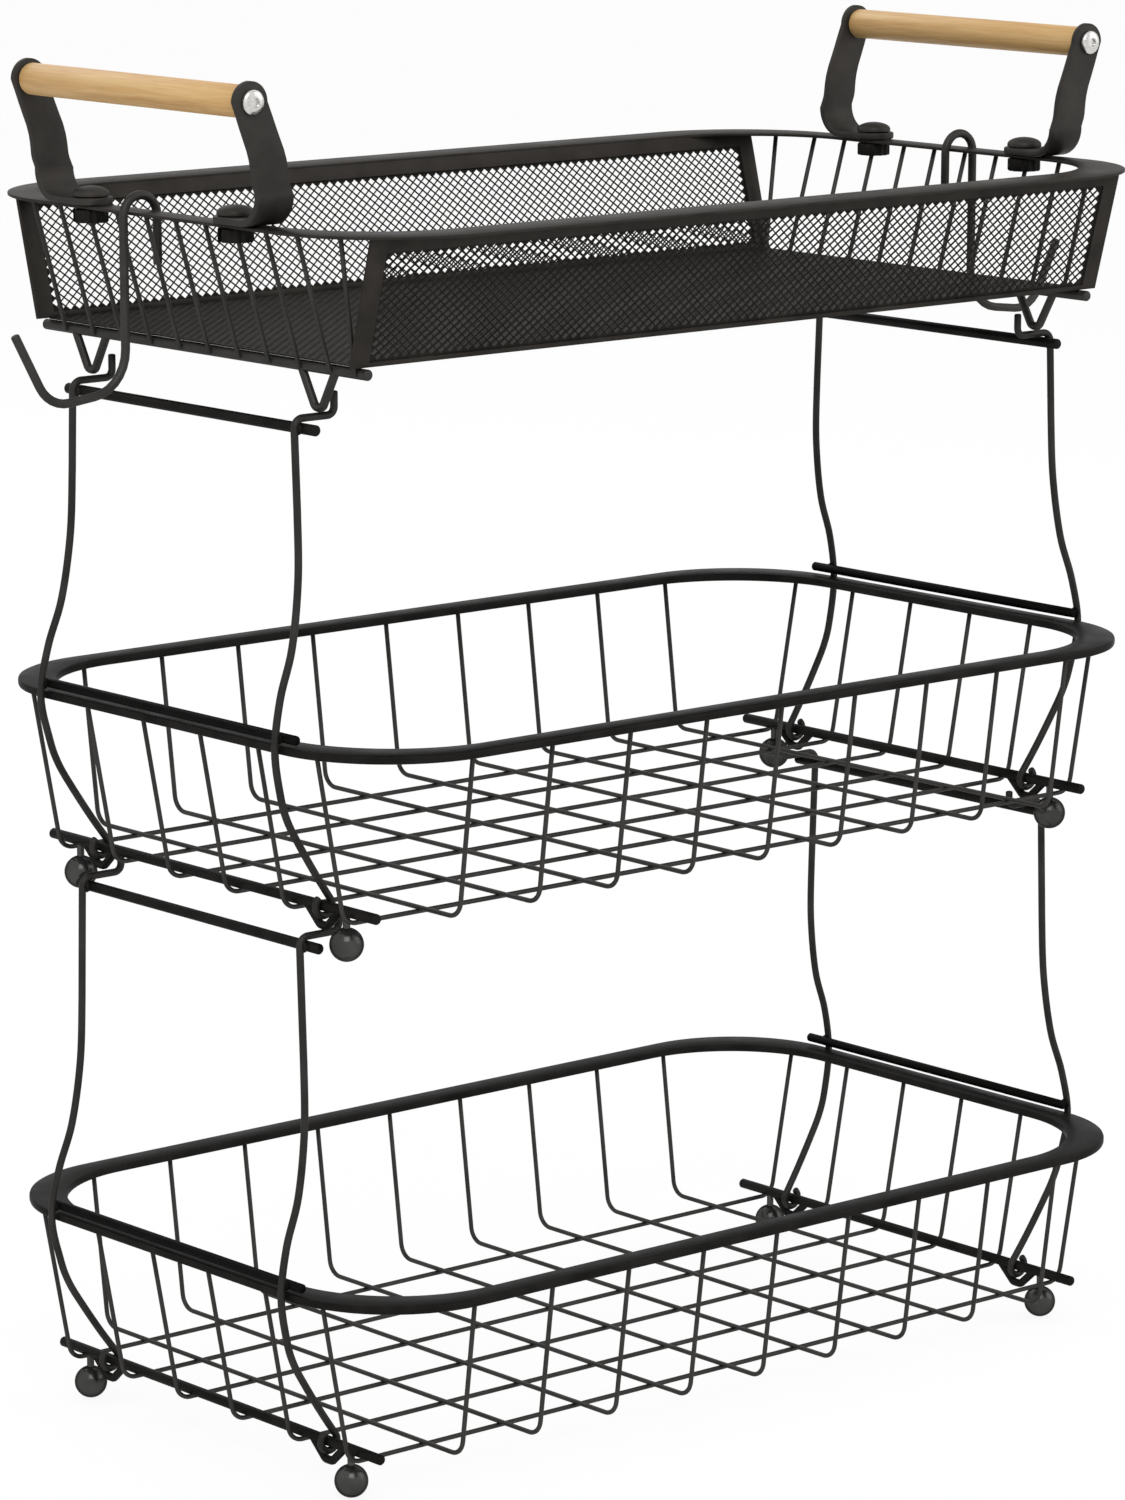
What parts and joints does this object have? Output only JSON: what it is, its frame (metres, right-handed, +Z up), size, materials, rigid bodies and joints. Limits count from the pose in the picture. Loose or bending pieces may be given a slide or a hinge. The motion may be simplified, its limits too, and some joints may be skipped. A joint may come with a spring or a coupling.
{
  "type": "tiered fruit basket",
  "caption": "Tiered black wire fruit basket on fold-out end frames, with a mesh-sided top tray, wooden carrying handles and hanging hooks.",
  "frame": {"origin": "centre of the footprint, on the table", "axes": "+X along the baskets towards the right end, +Y across them towards the far side, +Z up"},
  "size_m": [0.504, 0.244, 0.5152],
  "materials": {
    "black_coat": "satin black powder coat",
    "grey_coat": "satin dark grey powder coat",
    "mesh_coat": "satin black powder coat on expanded mesh",
    "ball_coat": "glossy dark grey",
    "wood": "clear satin",
    "bright_steel": "bright"
  },
  "bodies": {
    "bottom_basket": {"bottom_rim": "black_coat", "bottom_wires": "black_coat", "bottom_rail_left": "black_coat", "bottom_rail_right": "black_coat", "bottom_ball_left_near": "ball_coat", "bottom_ball_left_far": "ball_coat", "bottom_ball_right_near": "ball_coat", "bottom_ball_right_far": "ball_coat"},
    "middle_basket": {"middle_rim": "black_coat", "middle_wires": "black_coat", "middle_rail_left": "black_coat", "middle_rail_right": "black_coat", "middle_ball_left_near": "ball_coat", "middle_ball_left_far": "ball_coat", "middle_ball_right_near": "ball_coat", "middle_ball_right_far": "ball_coat"},
    "top_basket": {"top_rim": "grey_coat", "top_end_left": "black_coat", "top_end_right": "black_coat", "top_side_frame_near": "grey_coat", "top_side_frame_far": "grey_coat", "top_side_mesh_near": "mesh_coat", "top_side_mesh_far": "mesh_coat", "top_floor_mesh": "mesh_coat", "strap_left_near": "black_coat", "strap_left_far": "black_coat", "strap_right_near": "black_coat", "strap_right_far": "black_coat", "strap_cap_left_near": "black_coat", "strap_cap_left_far": "black_coat", "strap_cap_right_near": "black_coat", "strap_cap_right_far": "black_coat", "strap_nut_left_near": "black_coat", "strap_nut_left_far": "black_coat", "strap_nut_right_near": "black_coat", "strap_nut_right_far": "black_coat", "grip_screw_left_near": "bright_steel", "grip_screw_left_far": "bright_steel", "grip_screw_right_near": "bright_steel", "grip_screw_right_far": "bright_steel"},
    "left_grip": {"grip_left": "wood"},
    "right_grip": {"grip_right": "wood"},
    "left_hook": {"hook_left": "black_coat"},
    "right_hook": {"hook_right": "black_coat"},
    "lower_left_frame": {"lower_upright_left_near": "black_coat", "lower_upright_left_far": "black_coat", "lower_bar_left": "black_coat", "lower_rod_left": "black_coat"},
    "lower_right_frame": {"lower_upright_right_near": "black_coat", "lower_upright_right_far": "black_coat", "lower_bar_right": "black_coat", "lower_rod_right": "black_coat"},
    "upper_left_frame": {"upper_upright_left_near": "black_coat", "upper_upright_left_far": "black_coat", "upper_bar_left": "black_coat", "upper_rod_left": "black_coat"},
    "upper_right_frame": {"upper_upright_right_near": "black_coat", "upper_upright_right_far": "black_coat", "upper_bar_right": "black_coat", "upper_rod_right": "black_coat"}
  },
  "joints": [
    {"name": "lower_left_fold", "type": "hinge", "parent": "bottom_basket", "child": "lower_left_frame", "pos_m": [-0.178, 0, 0.0184], "axis": [0, -1, 0], "range_deg": [0, 80]},
    {"name": "lower_right_fold", "type": "hinge", "parent": "bottom_basket", "child": "lower_right_frame", "pos_m": [0.178, 0, 0.0184], "axis": [0, 1, 0], "range_deg": [0, 80]},
    {"name": "middle_basket_lift", "type": "slide", "parent": "bottom_basket", "child": "middle_basket", "axis": [0, 0, 1], "range_m": [0, 0.06]},
    {"name": "upper_left_fold", "type": "hinge", "parent": "middle_basket", "child": "upper_left_frame", "pos_m": [-0.178, 0, 0.22], "axis": [0, -1, 0], "range_deg": [0, 80]},
    {"name": "upper_right_fold", "type": "hinge", "parent": "middle_basket", "child": "upper_right_frame", "pos_m": [0.178, 0, 0.22], "axis": [0, 1, 0], "range_deg": [0, 80]},
    {"name": "top_basket_lift", "type": "slide", "parent": "middle_basket", "child": "top_basket", "axis": [0, 0, 1], "range_m": [0, 0.06]},
    {"name": "left_grip_turn", "type": "hinge", "parent": "top_basket", "child": "left_grip", "pos_m": [-0.2055, 0, 0.508], "axis": [0, 1, 0], "continuous": true},
    {"name": "right_grip_turn", "type": "hinge", "parent": "top_basket", "child": "right_grip", "pos_m": [0.2055, 0, 0.508], "axis": [0, 1, 0], "continuous": true},
    {"name": "left_hook_lift", "type": "slide", "parent": "top_basket", "child": "left_hook", "axis": [0, 0, 1], "range_m": [0, 0.024]},
    {"name": "right_hook_lift", "type": "slide", "parent": "top_basket", "child": "right_hook", "axis": [0, 0, 1], "range_m": [0, 0.024]}
  ]
}
